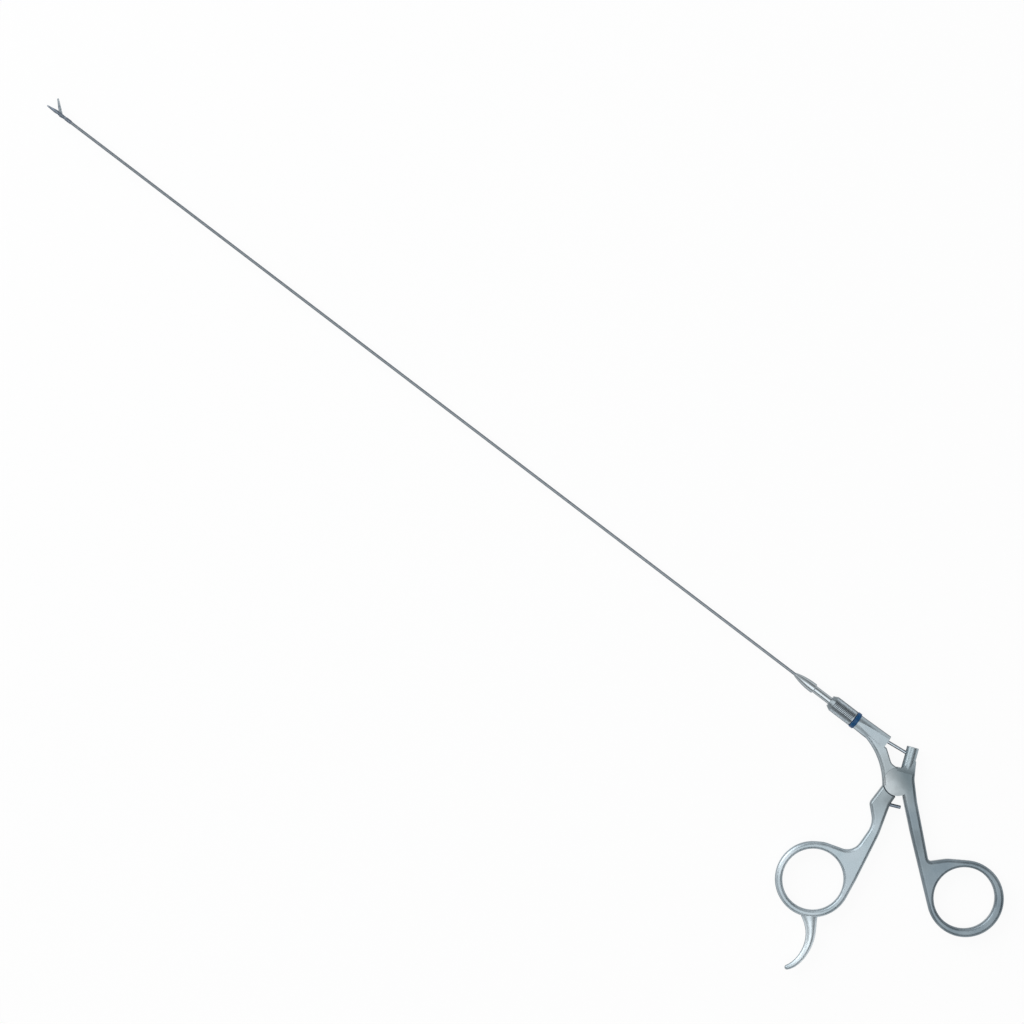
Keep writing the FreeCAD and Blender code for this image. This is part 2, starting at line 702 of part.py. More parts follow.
def jaw_section(x, middle, half_width, height):
    """Half-round section of the fixed jaw, flat side at the jaw's face."""
    centre = Vector(x, middle, jaw_face)
    ellipse = Part.Ellipse(centre + Vector(0, half_width, 0), centre + Vector(0, 0, height), centre)
    crown = Part.ArcOfEllipse(ellipse, 0, pi).toShape()
    return Part.Wire([crown, line(centre - Vector(0, half_width, 0), centre + Vector(0, half_width, 0))])


def jaw_housing():
    """Collar, waist, fork and the half-round fixed jaw in one piece."""
    head = head_od / 2
    waist = waist_diameter / 2
    fork = head - fork_inset
    rear = blade_pivot_at
    front = rear - collar_length
    edge = head - collar_chamfer
    waist_rear = front - collar_slope
    body = turned([(rear, 0), (rear, edge), (rear - collar_chamfer, head), (front + collar_chamfer, head),
                   (front, edge), (waist_rear, waist), (waist_rear - waist_length, waist), (fork_rear, fork),
                   (-fork_front, fork), (-fork_front, 0)])
    tip = rear - head_length
    sections = [(0.45, -0.01, 0.755, 0.70), (-2.0, -0.01, 0.775, 0.70), (-4.1, -0.16, 0.61, 0.59),
                (-5.7, -0.25, 0.43, 0.42), (tip + 0.4, -0.29, 0.29, 0.28), (tip, -0.30, 0.15, 0.14)]
    jaw = Part.makeLoft([jaw_section(*s) for s in sections], True, False)
    below_jaw = Part.makeBox(through, 2 * through, through, Vector(-through, -through, jaw_face - through))
    body = body.cut(below_jaw).fuse(jaw)
    lower_cheek = upright(Vector(0, 0, 0), head, -head, slot_floor)
    body = body.fuse(lower_cheek.common(along_shaft(fork, -head, head)))
    slot = Part.makeBox(2 * through, 2 * through, jaw_face - slot_floor,
                        Vector(slot_rear - 2 * through, -through, slot_floor))
    body = body.cut(slot)
    body = body.cut(along_shaft(sheath_od / 2, rear - sheath_in_collar, rear + 1))
    body = body.cut(along_shaft(sheath_bore / 2 + channel_clearance, slot_rear - channel_lead, rear))
    body = body.cut(upright(Vector(0, 0, 0), pivot_pin_diameter / 2, -through, through))
    return at_pivot(one_solid(body))


def spiral_slot():
    """Cam slot of the blade's tail: the drive pin's distance grows evenly as the blade closes."""
    half = drive_pin_diameter / 2 + slot_play / 2
    steps = 8
    inner = []
    outer = []
    for i in range(steps + 1):
        angle = blade_closing * i / steps
        reach = drive_pin_closed + (drive_pin_open - drive_pin_closed) * i / steps
        radial = Vector(cos(radians(angle)), sin(radians(angle)), 0)
        slope = (drive_pin_open - drive_pin_closed) / radians(blade_closing)
        travel = (radial * slope + Vector(-radial.y, radial.x, 0) * reach).normalize()
        side = Vector(travel.y, -travel.x, 0) * half
        outer.append(radial * reach + side)
        inner.append(radial * reach - side)
    inner.reverse()
    edges = [curve(outer), line(outer[-1], inner[0]), curve(inner), line(inner[-1], outer[0])]
    slot = plate(edges, -through, through)
    for angle, reach in ((0, drive_pin_closed), (blade_closing, drive_pin_open)):
        slot = slot.fuse(upright(on_circle(Vector(0, 0, 0), reach, angle), half, -through, through))
    return slot


def blade():
    """Moving blade, drawn closed with its tip forward, then turned open."""
    root = blade_root_radius
    tip_middle = Vector(-(blade_length - blade_tip_radius), -0.28, 0)
    upper_tip = tip_middle + Vector(-0.06, blade_tip_radius, 0)
    lower_tip = tip_middle + Vector(0.02, -blade_tip_radius, 0)
    nose = tip_middle + Vector(-blade_tip_radius, 0.03, 0)
    tail_top = Vector(1.40, 0.72, 0)
    tail_end = Vector(1.52, 0.38, 0)
    tail_foot = Vector(0.60, -root, 0)
    top_rear = Vector(0.2, root, 0)
    top_front = Vector(-blade_shoulder, root, 0)
    heel = Vector(-blade_shoulder, -root, 0)
    edges = [line(top_rear, tail_top), line(tail_top, tail_end), line(tail_end, tail_foot),
             line(tail_foot, heel), line(heel, lower_tip), Part.Arc(lower_tip, nose, upper_tip).toShape(),
             line(upper_tip, top_front), line(top_front, top_rear)]
    body = plate(edges, blade_bottom, blade_top)
    edge_top = blade_bottom + blade_edge_height
    start = heel.x - blade_edge_width
    low = heel.y - blade_gap
    bevel = [Vector(start, low - 1, blade_bottom - 1),
             Vector(start, low + blade_edge_width, blade_bottom - 0.001), Vector(start, low, edge_top),
             Vector(start, low - 1, edge_top)]
    wedge = Part.Face(Part.makePolygon(bevel + bevel[:1])).extrude(Vector(-blade_length, 0, 0))
    lean = degrees(atan2(lower_tip.y - heel.y, lower_tip.x - heel.x))
    wedge.rotate(heel, Vector(0, 0, 1), lean - 180)
    body = body.cut(wedge)
    body = body.cut(spiral_slot())
    body = body.cut(upright(Vector(0, 0, 0), pivot_pin_diameter / 2 + blade_gap, -through, through))
    body = one_solid(body)
    body.rotate(Vector(0, 0, 0), Vector(0, 0, 1), -blade_closing)
    return at_pivot(body)


def jaw_pivot_pin():
    reach = head_od / 2 - pivot_pin_recess
    return at_pivot(upright(Vector(0, 0, 0), pivot_pin_diameter / 2, -reach, reach))


def drive_pin():
    place = Vector(drive_pin_open, 0, 0)
    return at_pivot(upright(place, drive_pin_diameter / 2, tab_bottom, blade_top - drive_pin_recess))


def wire_tab():
    """Flat end of the wire with a hole for the drive pin, stepped from a short round sleeve."""
    half = tab_width / 2
    hole = Vector(drive_pin_open, 0, 0)
    flat = Part.makeBox(tab_block_rear - hole.x, tab_width, tab_thickness, Vector(hole.x, -half, tab_bottom))
    flat = flat.fuse(upright(hole, half, tab_bottom, tab_top))
    block = Part.makeBox(tab_block_rear - tab_block_front, tab_width, blade_top - blade_gap - tab_bottom,
                         Vector(tab_block_front, -half, tab_bottom))
    sleeve = along_shaft(tab_sleeve_diameter / 2, tab_block_rear - 0.02, tab_sleeve_end)
    body = flat.fuse([block, sleeve])
    body = body.cut(upright(hole, drive_pin_diameter / 2, -through, through))
    body = body.cut(along_shaft(wire_diameter / 2, tab_block_rear + wire_stop, tab_sleeve_end + 1))
    return at_pivot(one_solid(body))


ferrule_front = cup_front + cup_wall + rod_travel() - wire_travel + running_clearance


def pull_wire():
    start = blade_pivot + tab_block_rear + wire_stop
    return along_shaft(wire_diameter / 2, start, ferrule_front + ferrule_length)


def wire_ferrule():
    radius = ferrule_diameter / 2
    bush = along_shaft(radius, ferrule_front, ferrule_front + ferrule_length)
    return bush.cut(along_shaft(wire_diameter / 2, ferrule_front - 1, ferrule_front + ferrule_length + 1))


makers = [fixed_handle, thumb_handle, pivot_rivet, stop_stud, drive_rod, drive_ball, stub_cap, colour_ring,
          knurled_sleeve, stem_spindle, retaining_ring, spindle_seal, rod_seal, nose_cone, sheath_tube,
          jaw_housing, jaw_pivot_pin, blade, pull_wire, wire_ferrule, wire_tab, drive_pin]

pieces = {maker.__name__: maker() for maker in makers}

whole = Part.makeCompound(list(pieces.values())).optimalBoundingBox(False, False)
shift = Vector(-(whole.XMin + whole.XMax) / 2, -(whole.YMin + whole.YMax) / 2, -whole.ZMin)

os.makedirs("parts", exist_ok=True)
for name, shape in pieces.items():
    shape.translate(shift)
    shape.exportStep("parts/%s.step" % name)

print("box", round(whole.XLength, 3), round(whole.YLength, 3), round(whole.ZLength, 3))
print("shift", round(shift.x, 4), round(shift.y, 4), round(shift.z, 4))
print("rod travel", round(rod_travel(), 4), "wire travel", round(wire_travel, 4))
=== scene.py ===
import math
import bmesh
import bpy
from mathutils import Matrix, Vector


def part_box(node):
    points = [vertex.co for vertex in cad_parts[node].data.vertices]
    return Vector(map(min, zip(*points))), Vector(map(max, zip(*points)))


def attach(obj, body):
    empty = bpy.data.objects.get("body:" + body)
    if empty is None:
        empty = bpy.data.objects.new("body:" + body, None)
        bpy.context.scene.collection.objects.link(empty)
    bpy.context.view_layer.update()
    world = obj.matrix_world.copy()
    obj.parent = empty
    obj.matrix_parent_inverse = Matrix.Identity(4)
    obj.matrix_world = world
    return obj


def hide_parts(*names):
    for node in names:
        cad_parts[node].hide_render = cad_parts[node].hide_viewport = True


# Endoscopic scissor forceps lying on a white table, seen from straight above.
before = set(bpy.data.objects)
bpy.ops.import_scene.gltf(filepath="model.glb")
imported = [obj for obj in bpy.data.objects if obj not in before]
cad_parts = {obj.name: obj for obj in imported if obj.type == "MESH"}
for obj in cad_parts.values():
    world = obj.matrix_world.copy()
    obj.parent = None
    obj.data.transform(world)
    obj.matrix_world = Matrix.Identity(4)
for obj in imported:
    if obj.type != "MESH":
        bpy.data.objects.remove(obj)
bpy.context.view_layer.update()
print("packed model loaded,", len(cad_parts), "nodes")

shaftLine = (0.047728, 0.00375)        # y and z of the shaft's axis, in metres
bpy.context.scene.view_settings.view_transform = "Standard"


def addObject(name, data):
    thing = bpy.data.objects.new(name, data)
    bpy.context.scene.collection.objects.link(thing)
    return thing


def smoothMesh(name, shape):
    bmesh.ops.recalc_face_normals(shape, faces=shape.faces)
    mesh = bpy.data.meshes.new(name)
    shape.to_mesh(mesh)
    shape.free()
    for face in mesh.polygons:
        face.use_smooth = True
    return mesh


def addNode(tree, kind, at=(0, 0), **settings):
    node = tree.nodes.new(kind)
    node.location = at
    for name, value in settings.items():
        setattr(node, name, value)
    return node


def feed(tree, source, target):
    # a socket is linked, a number or a vector is written on the target
    if isinstance(source, bpy.types.NodeSocket):
        tree.links.new(source, target)
    else:
        target.default_value = source


def calculate(tree, operation, at, *sources):
    node = addNode(tree, "ShaderNodeMath", at, operation=operation)
    for source, target in zip(sources, node.inputs):
        feed(tree, source, target)
    return node.outputs[0]


def vectorMath(tree, operation, at, *sources):
    node = addNode(tree, "ShaderNodeVectorMath", at, operation=operation)
    for source, target in zip(sources, node.inputs):
        feed(tree, source, target)
    plain = operation in ("DISTANCE", "LENGTH", "DOT_PRODUCT")
    return node.outputs["Value" if plain else "Vector"]


def splitAxes(tree, vector, at):
    node = addNode(tree, "ShaderNodeSeparateXYZ", at)
    feed(tree, vector, node.inputs[0])
    return node.outputs


def mapRange(tree, value, bounds, at, to=(0.0, 1.0), curve="SMOOTHSTEP"):
    node = addNode(tree, "ShaderNodeMapRange", at, interpolation_type=curve)
    labels = ("Value", "From Min", "From Max", "To Min", "To Max")
    for label, source in zip(labels, (value, *bounds, *to)):
        feed(tree, source, node.inputs[label])
    return node.outputs["Result"]


def noiseAt(tree, vector, scale, detail, at):
    noise = addNode(tree, "ShaderNodeTexNoise", at)
    for label, source in (("Vector", vector), ("Scale", scale), ("Detail", detail)):
        feed(tree, source, noise.inputs[label])
    return noise.outputs[0]


def mixColour(tree, factor, first, second, at):
    # 0 is the factor, 6 and 7 the two colours, and output 2 their mix
    node = addNode(tree, "ShaderNodeMix", at, data_type="RGBA")
    for index, source in ((0, factor), (6, first), (7, second)):
        feed(tree, (*source, 1.0) if isinstance(source, tuple) else source, node.inputs[index])
    return node.outputs[2]


cameraSettings = {
    "lens": 110.0,
    "sensor": 36.0,
    "clip": (0.01, 50.0),
    "frameWidth": 0.4348,              # what the picture spans, at the height of the shaft
    "middle": (-0.0036, 0.0297, 0.00375),
    "turn": 37.3,
}


def makeCamera(spec):
    data = bpy.data.cameras.new("camera")
    data.lens = spec["lens"]
    data.sensor_width = spec["sensor"]
    data.clip_start, data.clip_end = spec["clip"]
    camera = addObject("camera", data)
    x, y, z = spec["middle"]
    camera.location = (x, y, z + spec["frameWidth"] * spec["lens"] / spec["sensor"])
    camera.rotation_euler = (0.0, 0.0, math.radians(spec["turn"]))
    bpy.context.scene.camera = camera


# Soft boxes: place in metres, size across and along, watts.
lampSettings = {
    "target": (0.1, 0.0, 0.0),
    "boxes": [
        {"name": "keyBox", "at": (-1.30, 0.15, 0.95), "size": (1.7, 1.2), "power": 15.0},
        {"name": "fillBox", "at": (0.35, -0.35, 1.7), "size": (1.4, 1.4), "power": 7.5},
    ],
}


def makeLamps(spec):
    for box in spec["boxes"]:
        data = bpy.data.lights.new(box["name"], "AREA")
        data.shape = "RECTANGLE"
        data.size, data.size_y = box["size"]
        data.energy = box["power"]
        lamp = addObject(box["name"], data)
        lamp.location = box["at"]
        x, y, z = (place - aim for place, aim in zip(box["at"], spec["target"]))
        lamp.rotation_euler = (math.atan2(math.hypot(x, y), z), 0.0, math.atan2(x, -y))


# Studio greys by height of the direction (0 level, 1 straight up), times a share for its side.
worldSettings = {
    "stops": [(0.0, 0.50), (0.10, 0.26), (0.55, 0.27), (0.80, 0.48), (1.0, 0.56)],
    "side": 0.9,                       # how far along X the share still changes
    "bright": 1.55,                    # share towards -X
    "dim": 0.45,                       # share towards +X
    "strength": 1.0,
}


def setGreys(ramp, stops):
    while len(ramp.elements) < len(stops):
        ramp.elements.new(1.0)
    for element, (place, grey) in zip(ramp.elements, stops):
        element.position = place
        element.color = (grey, grey, grey, 1.0)


def makeWorld(spec):
    world = bpy.data.worlds.new("studio")
    world.use_nodes = True
    bpy.context.scene.world = world
    tree = world.node_tree
    tree.nodes.clear()
    place = addNode(tree, "ShaderNodeTexCoord", (-800, 0))
    parts = splitAxes(tree, place.outputs["Generated"], (-600, 0))
    ramp = addNode(tree, "ShaderNodeValToRGB", (-400, 0))
    setGreys(ramp.color_ramp, spec["stops"])
    feed(tree, parts["Z"], ramp.inputs["Fac"])
    share = mapRange(tree, parts["X"], (-spec["side"], spec["side"]), (-400, -250),
                     (spec["bright"], spec["dim"]), "LINEAR")
    shaded = vectorMath(tree, "MULTIPLY", (-250, 0), ramp.outputs["Color"], share)
    background = addNode(tree, "ShaderNodeBackground", (-100, 0))
    feed(tree, shaded, background.inputs["Color"])
    feed(tree, spec["strength"], background.inputs["Strength"])
    output = addNode(tree, "ShaderNodeOutputWorld", (100, 0))
    feed(tree, background.outputs[0], output.inputs["Surface"])


tableSettings = {
    "rings": (0.4, 1.0, 2.0, 3.4),     # radii of the level part, which ends where the wall rises
    "radius": 5.0,
    "wallHeight": 1.5,
    "wallSteps": 12,
    "sides": 64,
    "colour": (0.96, 0.97, 0.975),
    "roughness": 0.9,
    "specular": 0.1,
    "glow": 0.92,                      # share of plain white seen by the camera and in the metal
}


def makePaper(spec):
    paper = bpy.data.materials.new("tablePaper")
    paper.use_nodes = True
    tree = paper.node_tree
    tree.nodes.clear()
    path = addNode(tree, "ShaderNodeLightPath", (-600, 200))
    seen = calculate(tree, "MAXIMUM", (-400, 200),
                     path.outputs["Is Camera Ray"], path.outputs["Is Glossy Ray"])
    seen = calculate(tree, "MAXIMUM", (-200, 200), seen, path.outputs["Is Transmission Ray"])
    share = calculate(tree, "MULTIPLY", (0, 200), seen, spec["glow"])
    matt = addNode(tree, "ShaderNodeBsdfPrincipled", (0, 0))
    matt.inputs["Base Color"].default_value = (*spec["colour"], 1.0)
    matt.inputs["Roughness"].default_value = spec["roughness"]
    matt.inputs["Specular IOR Level"].default_value = spec["specular"]
    white = addNode(tree, "ShaderNodeEmission", (0, -300))
    white.inputs["Color"].default_value = (1.0, 1.0, 1.0, 1.0)
    white.inputs["Strength"].default_value = 1.0
    mix = addNode(tree, "ShaderNodeMixShader", (400, 0))
    for source, target in zip((share, matt.outputs[0], white.outputs[0]), mix.inputs):
        feed(tree, source, target)
    output = addNode(tree, "ShaderNodeOutputMaterial", (600, 0))
    feed(tree, mix.outputs[0], output.inputs["Surface"])
    return paper


def makeTable(spec):
    wallStart = spec["rings"][-1]
    profile = [(radius, 0.0) for radius in spec["rings"]]
    for step in range(1, spec["wallSteps"] + 1):
        angle = step / spec["wallSteps"] * math.pi / 2
        radius = wallStart + (spec["radius"] - wallStart) * math.sin(angle)
        profile.append((radius, spec["wallHeight"] * (1 - math.cos(angle))))
    sides = spec["sides"]
    around = [2 * math.pi * k / sides for k in range(sides)]
    shape = bmesh.new()
    centre = shape.verts.new((0.0, 0.0, 0.0))
    rows = []
    for radius, height in profile:
        places = [(radius * math.cos(angle), radius * math.sin(angle), height) for angle in around]
        rows.append([shape.verts.new(place) for place in places])
    for k in range(sides):
        after = (k + 1) % sides
        shape.faces.new((centre, rows[0][k], rows[0][after]))
        for inner, outer in zip(rows, rows[1:]):
            shape.faces.new((inner[k], outer[k], outer[after], inner[after]))
    mesh = smoothMesh("table", shape)
    mesh.materials.append(makePaper(spec))
    table = addObject("table", mesh)


makeCamera(cameraSettings)
makeLamps(lampSettings)
makeWorld(worldSettings)
makeTable(tableSettings)
print("camera, lamps and table made")


def newGroup(name, inputs, outputs):
    # inputs without a number are vectors, the others and all outputs are plain values
    group = bpy.data.node_groups.new(name, "ShaderNodeTree")
    for label, value in inputs.items():
        kind = "NodeSocketVector" if value is None else "NodeSocketFloat"
        socket = group.interface.new_socket(label, in_out="INPUT", socket_type=kind)
        if value is not None:
            socket.default_value = value
    for label in outputs:
        group.interface.new_socket(label, in_out="OUTPUT", socket_type="NodeSocketFloat")
    entry = addNode(group, "NodeGroupInput", (-1000, 0))
    leave = addNode(group, "NodeGroupOutput", (1000, 0))
    return group, entry.outputs, leave.inputs


blastSettings = {"grainDetail": 3.0, "cloudDetail": 4.0, "cloudRange": (0.32, 0.68)}


def makeBlastGroup(spec):
    # fine blasted grain over a soft cloudiness
    inputs = {"Vector": None, "Grain": 9000.0, "Cloud": 160.0}
    group, given, out = newGroup("blastGrain", inputs, ["Height", "Cloud"])
    grain = noiseAt(group, given["Vector"], given["Grain"], spec["grainDetail"], (-600, 200))
    cloud = noiseAt(group, given["Vector"], given["Cloud"], spec["cloudDetail"], (-600, -200))
    feed(group, grain, out["Height"])
    feed(group, mapRange(group, cloud, spec["cloudRange"], (-300, -200)), out["Cloud"])
    return group


def makeRimShadeGroup():
    # painted shade on rounded edges: 1 there, 0 on faces that look up or down and again on upright walls
    inputs = {"Start": 0.95, "End": 0.7, "WallStart": 0.04, "WallEnd": 0.22}
    group, given, out = newGroup("rimMask", inputs, ["Mask"])
    shape = addNode(group, "ShaderNodeNewGeometry", (-800, 0))
    facing = splitAxes(group, shape.outputs["Normal"], (-600, 0))
    level = calculate(group, "ABSOLUTE", (-400, 0), facing["Z"])
    band = mapRange(group, level, (given["End"], given["Start"]), (-100, 0), (1.0, 0.0))
    fade = mapRange(group, level, (given["WallStart"], given["WallEnd"]), (-100, -250))
    feed(group, calculate(group, "MULTIPLY", (200, 0), band, fade), out["Mask"])
    return group


def makePaintedLightGroup():
    # Near is 1 close to a place and 0 far from it, Slope runs from 0 to 1 past it in one direction; they
    # place painted light and shade on the handles
    inputs = {"Vector": None, "Centre": None, "Direction": None,
              "Inner": 0.007, "Outer": 0.015, "Reach": 0.0045}
    group, given, out = newGroup("paintedLightPlace", inputs, ["Near", "Slope"])
    apart = vectorMath(group, "DISTANCE", (-700, 200), given["Vector"], given["Centre"])
    near = mapRange(group, apart, (given["Inner"], given["Outer"]), (-300, 200), (1.0, 0.0))
    offset = vectorMath(group, "SUBTRACT", (-800, -200), given["Vector"], given["Centre"])
    along = vectorMath(group, "DOT_PRODUCT", (-600, -200), offset, given["Direction"])
    back = calculate(group, "MULTIPLY", (-600, -400), given["Reach"], -1.0)
    slope = mapRange(group, along, (back, given["Reach"]), (-300, -200))
    feed(group, near, out["Near"])
    feed(group, slope, out["Slope"])
    return group


def makeSeamShadeGroup():
    # 1 on level faces that lie deep, close to the middle height; these get painted shade
    inputs = {"Vector": None, "Middle": 0.0, "Half": 0.001, "Level": 0.9}
    group, given, out = newGroup("deepLevelFaces", inputs, ["Mask"])
    place = splitAxes(group, given["Vector"], (-800, 100))
    offset = calculate(group, "SUBTRACT", (-600, 100), place["Z"], given["Middle"])
    depth = calculate(group, "ABSOLUTE", (-400, 100), offset)
    deep = calculate(group, "LESS_THAN", (-200, 100), depth, given["Half"])
    shape = addNode(group, "ShaderNodeNewGeometry", (-800, -200))
    facing = splitAxes(group, shape.outputs["Normal"], (-600, -200))
    level = calculate(group, "ABSOLUTE", (-400, -200), facing["Z"])
    flat = calculate(group, "GREATER_THAN", (-200, -200), level, given["Level"])
    feed(group, calculate(group, "MULTIPLY", (100, 0), deep, flat), out["Mask"])
    return group


def makeFluteGroup():
    # Height is 0 at the bottom of grooves along the shaft and 1 on their crests,
    # Cone is 1 on the sloping ends
    inputs = {"Vector": None, "Axis": None, "Floor": 0.003, "Crest": 0.0035, "Lean": 0.25}
    group, given, out = newGroup("fluteHeight", inputs, ["Height", "Cone"])
    offset = vectorMath(group, "SUBTRACT", (-800, 0), given["Vector"], given["Axis"])
    across = vectorMath(group, "MULTIPLY", (-600, 0), offset, (0.0, 1.0, 1.0))
    radius = vectorMath(group, "LENGTH", (-400, 0), across)
    rise = mapRange(group, radius, (given["Floor"], given["Crest"]), (-100, 0))
    shape = addNode(group, "ShaderNodeNewGeometry", (-800, -300))
    facing = splitAxes(group, shape.outputs["Normal"], (-600, -300))
    lean = calculate(group, "ABSOLUTE", (-400, -300), facing["X"])
    cone = calculate(group, "GREATER_THAN", (-200, -300), lean, given["Lean"])
    feed(group, rise, out["Height"])
    feed(group, cone, out["Cone"])
    return group


blastGroup = makeBlastGroup(blastSettings)
rimGroup = makeRimShadeGroup()
paintedLightGroup = makePaintedLightGroup()
seamShadeGroup = makeSeamShadeGroup()
fluteGroup = makeFluteGroup()
print("shared effects made")


def placeGroup(tree, group, at, **values):
    node = addNode(tree, "ShaderNodeGroup", at)
    node.node_tree = group
    for label, value in values.items():
        feed(tree, value, node.inputs[label])
    return node.outputs


def newFinish(name, metallic=1.0):
    material = bpy.data.materials.new(name)
    material.use_nodes = True
    tree = material.node_tree
    tree.nodes.clear()
    output = addNode(tree, "ShaderNodeOutputMaterial", (900, 0))
    shader = addNode(tree, "ShaderNodeBsdfPrincipled", (600, 0))
    shader.inputs["Metallic"].default_value = metallic
    feed(tree, shader.outputs[0], output.inputs["Surface"])
    coords = addNode(tree, "ShaderNodeTexCoord", (-1200, 0))
    return material, tree, shader, coords.outputs["Object"]


def addBump(tree, height, spec, shader):
    strength, depth = spec
    bump = addNode(tree, "ShaderNodeBump", (300, -300))
    for label, source in (("Strength", strength), ("Distance", depth), ("Height", height)):
        feed(tree, source, bump.inputs[label])
    feed(tree, bump.outputs[0], shader.inputs["Normal"])


def blastSurface(tree, vector, spec, shader):
    # the grain makes the bump and the clouds the roughness; the colours follow the clouds too
    blast = placeGroup(tree, blastGroup, (-900, 200),
                       Vector=vector, Grain=spec["grain"], Cloud=spec["cloud"])
    rough = mapRange(tree, blast["Cloud"], (0.0, 1.0), (-300, -200), spec["roughness"])
    feed(tree, rough, shader.inputs["Roughness"])
    addBump(tree, blast["Height"], spec["bump"], shader)
    return blast["Cloud"]


# painted shade: rounded edges take the darker rim colour
def paintRimShade(tree, ground, spec, at):
    rim = placeGroup(tree, rimGroup, (-900, -100), Start=spec["rimStart"], End=spec["rimEnd"])
    return mixColour(tree, rim["Mask"], ground, spec["rim"], at)


# The flats carry painted light and shade across the box joint, from behind it to ahead of it along
# "towards".
# Other listed spots carry a painted highlight or painted shade. Places are in millimetres from the middle
# of the colour ring, on the shaft's axis; inner and outer are metres.
satinSettings = {
    "satinFixed": {
        "light": (0.450, 0.525, 0.570),
        "dark": (0.325, 0.392, 0.428),
        "jointInner": 0.0100,
        "jointOuter": 0.0230,
        "towards": (-0.707, 0.707, 0.0),
        "paintedLightBehindJoint": (0.262, 0.308, 0.330),
        "paintedLightAheadOfJoint": (0.375, 0.430, 0.455),
        # painted highlights on the front ring's left side, the hook and the barrel behind the colour ring
        "paintedLightSpots": [
            {"at": (6.5, -66.0), "inner": 0.0050, "outer": 0.0125, "colour": (0.560, 0.635, 0.680)},
            {"at": (41.0, -87.0), "inner": 0.0070, "outer": 0.0150, "colour": (0.640, 0.720, 0.765)},
            {"at": (2.5, -1.0), "inner": 0.0008, "outer": 0.0042, "colour": (0.600, 0.690, 0.735)},
        ],
    },
    # the thumb handle's copy of the same satin steel, its colours painted darker as shade
    "satinThumbShaded": {
        "light": (0.275, 0.335, 0.372),
        "dark": (0.172, 0.218, 0.250),
        "jointInner": 0.0055,
        "jointOuter": 0.0145,
        "towards": (0.447, 0.894, 0.0),
        "paintedLightBehindJoint": (0.430, 0.475, 0.495),
        "paintedLightAheadOfJoint": (0.170, 0.215, 0.236),
        # a painted highlight at the stub's top and painted shade on the thumb lever
        "paintedLightSpots": [
            {"at": (26.0, 6.5), "inner": 0.0080, "outer": 0.0130, "colour": (0.350, 0.420, 0.455)},
            {"at": (52.3, -24.0), "inner": 0.0040, "outer": 0.0170, "colour": (0.198, 0.243, 0.270)},
        ],
    },
}
satinCommon = {
    "joint": (29.8, -9.9),
    "reach": 0.0050,                   # half the length over which the joint's tone changes
    # the rim colour is painted shade on rounded edges
    "rim": (0.095, 0.115, 0.135),
    "rimStart": 0.60,
    "rimEnd": 0.25,
    # painted shade in the slit round the box joint
    "seamShade": (0.045, 0.058, 0.068),
    "webHalf": 0.00125,                # level faces this close to the middle height are the web
    "grain": 7000.0,
    "cloud": 120.0,
    "roughness": (0.36, 0.46),
    "bump": (0.25, 0.00002),           # strength and depth, as in all finishes
}


def handlePlace(place):
    low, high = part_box("colour_ring")
    x, y = place
    return ((low[0] + high[0]) / 2 + x / 1000, shaftLine[0] + y / 1000, shaftLine[1])


def satinSteel(name):
    spec = {**satinCommon, **satinSettings[name]}
    material, tree, shader, vector = newFinish(name)
    cloud = blastSurface(tree, vector, spec, shader)
    joint = placeGroup(tree, paintedLightGroup, (-900, -400), Vector=vector,
                       Centre=handlePlace(spec["joint"]), Direction=spec["towards"],
                       Inner=spec["jointInner"], Outer=spec["jointOuter"], Reach=spec["reach"])
    cloudy = mixColour(tree, cloud, spec["dark"], spec["light"], (-650, 200))
    # painted light and shade across the box joint
    jointPaintedLight = mixColour(tree, joint["Slope"], spec["paintedLightBehindJoint"], spec["paintedLightAheadOfJoint"], (-650, -100))
    ground = mixColour(tree, joint["Near"], cloudy, jointPaintedLight, (-550, 150))
    # painted highlights and painted shade at the listed spots
    for row, paintedSpot in enumerate(spec["paintedLightSpots"]):
        spot = placeGroup(tree, paintedLightGroup, (-900, -700 - 300 * row), Vector=vector,
                          Centre=handlePlace(paintedSpot["at"]), Inner=paintedSpot["inner"], Outer=paintedSpot["outer"])
        ground = mixColour(tree, spot["Near"], ground, paintedSpot["colour"], (-450, 150 - 250 * row))
    edged = paintRimShade(tree, ground, spec, (-300, 100))
    # painted shade on the web's level faces deep in the slit round the box joint
    gap = placeGroup(tree, seamShadeGroup, (-600, -500),
                     Vector=vector, Middle=shaftLine[1], Half=spec["webHalf"])
    seamShadeMask = calculate(tree, "MULTIPLY", (-250, -500), gap["Mask"], joint["Near"])
    seamShaded = mixColour(tree, seamShadeMask, edged, spec["seamShade"], (-100, 100))
    feed(tree, seamShaded, shader.inputs["Base Color"])
    return material


# each rim colour is painted shade on rounded edges
turnedSettings = {
    "polishedSteel": {
        "light": (0.53, 0.585, 0.615),
        "dark": (0.40, 0.45, 0.48),
        "rim": (0.17, 0.20, 0.22),
        "roughness": (0.18, 0.26),
    },
    "rodSteel": {
        "light": (0.47, 0.535, 0.59),
        "dark": (0.36, 0.415, 0.465),
        # the rod's rim carries a stronger painted shade
        "rim": (0.05, 0.062, 0.075),
        "rimStart": 0.90,
        "rimEnd": 0.50,
        "roughness": (0.18, 0.26),
    },
    "sheathSteel": {
        "light": (0.33, 0.37, 0.405),
        "dark": (0.22, 0.255, 0.29),
        "rim": (0.055, 0.07, 0.085),
        "roughness": (0.30, 0.40),
    },
}
turnedCommon = {
    "rimStart": 0.8,
    "rimEnd": 0.35,
    "rings": (9000.0, 3.0),            # scale and detail of the fine marks
    "bands": (500.0, 2.0),             # and of the slow changes of tone
    "ringRange": (0.3, 0.7),
    "bump": (0.15, 0.00001),
}


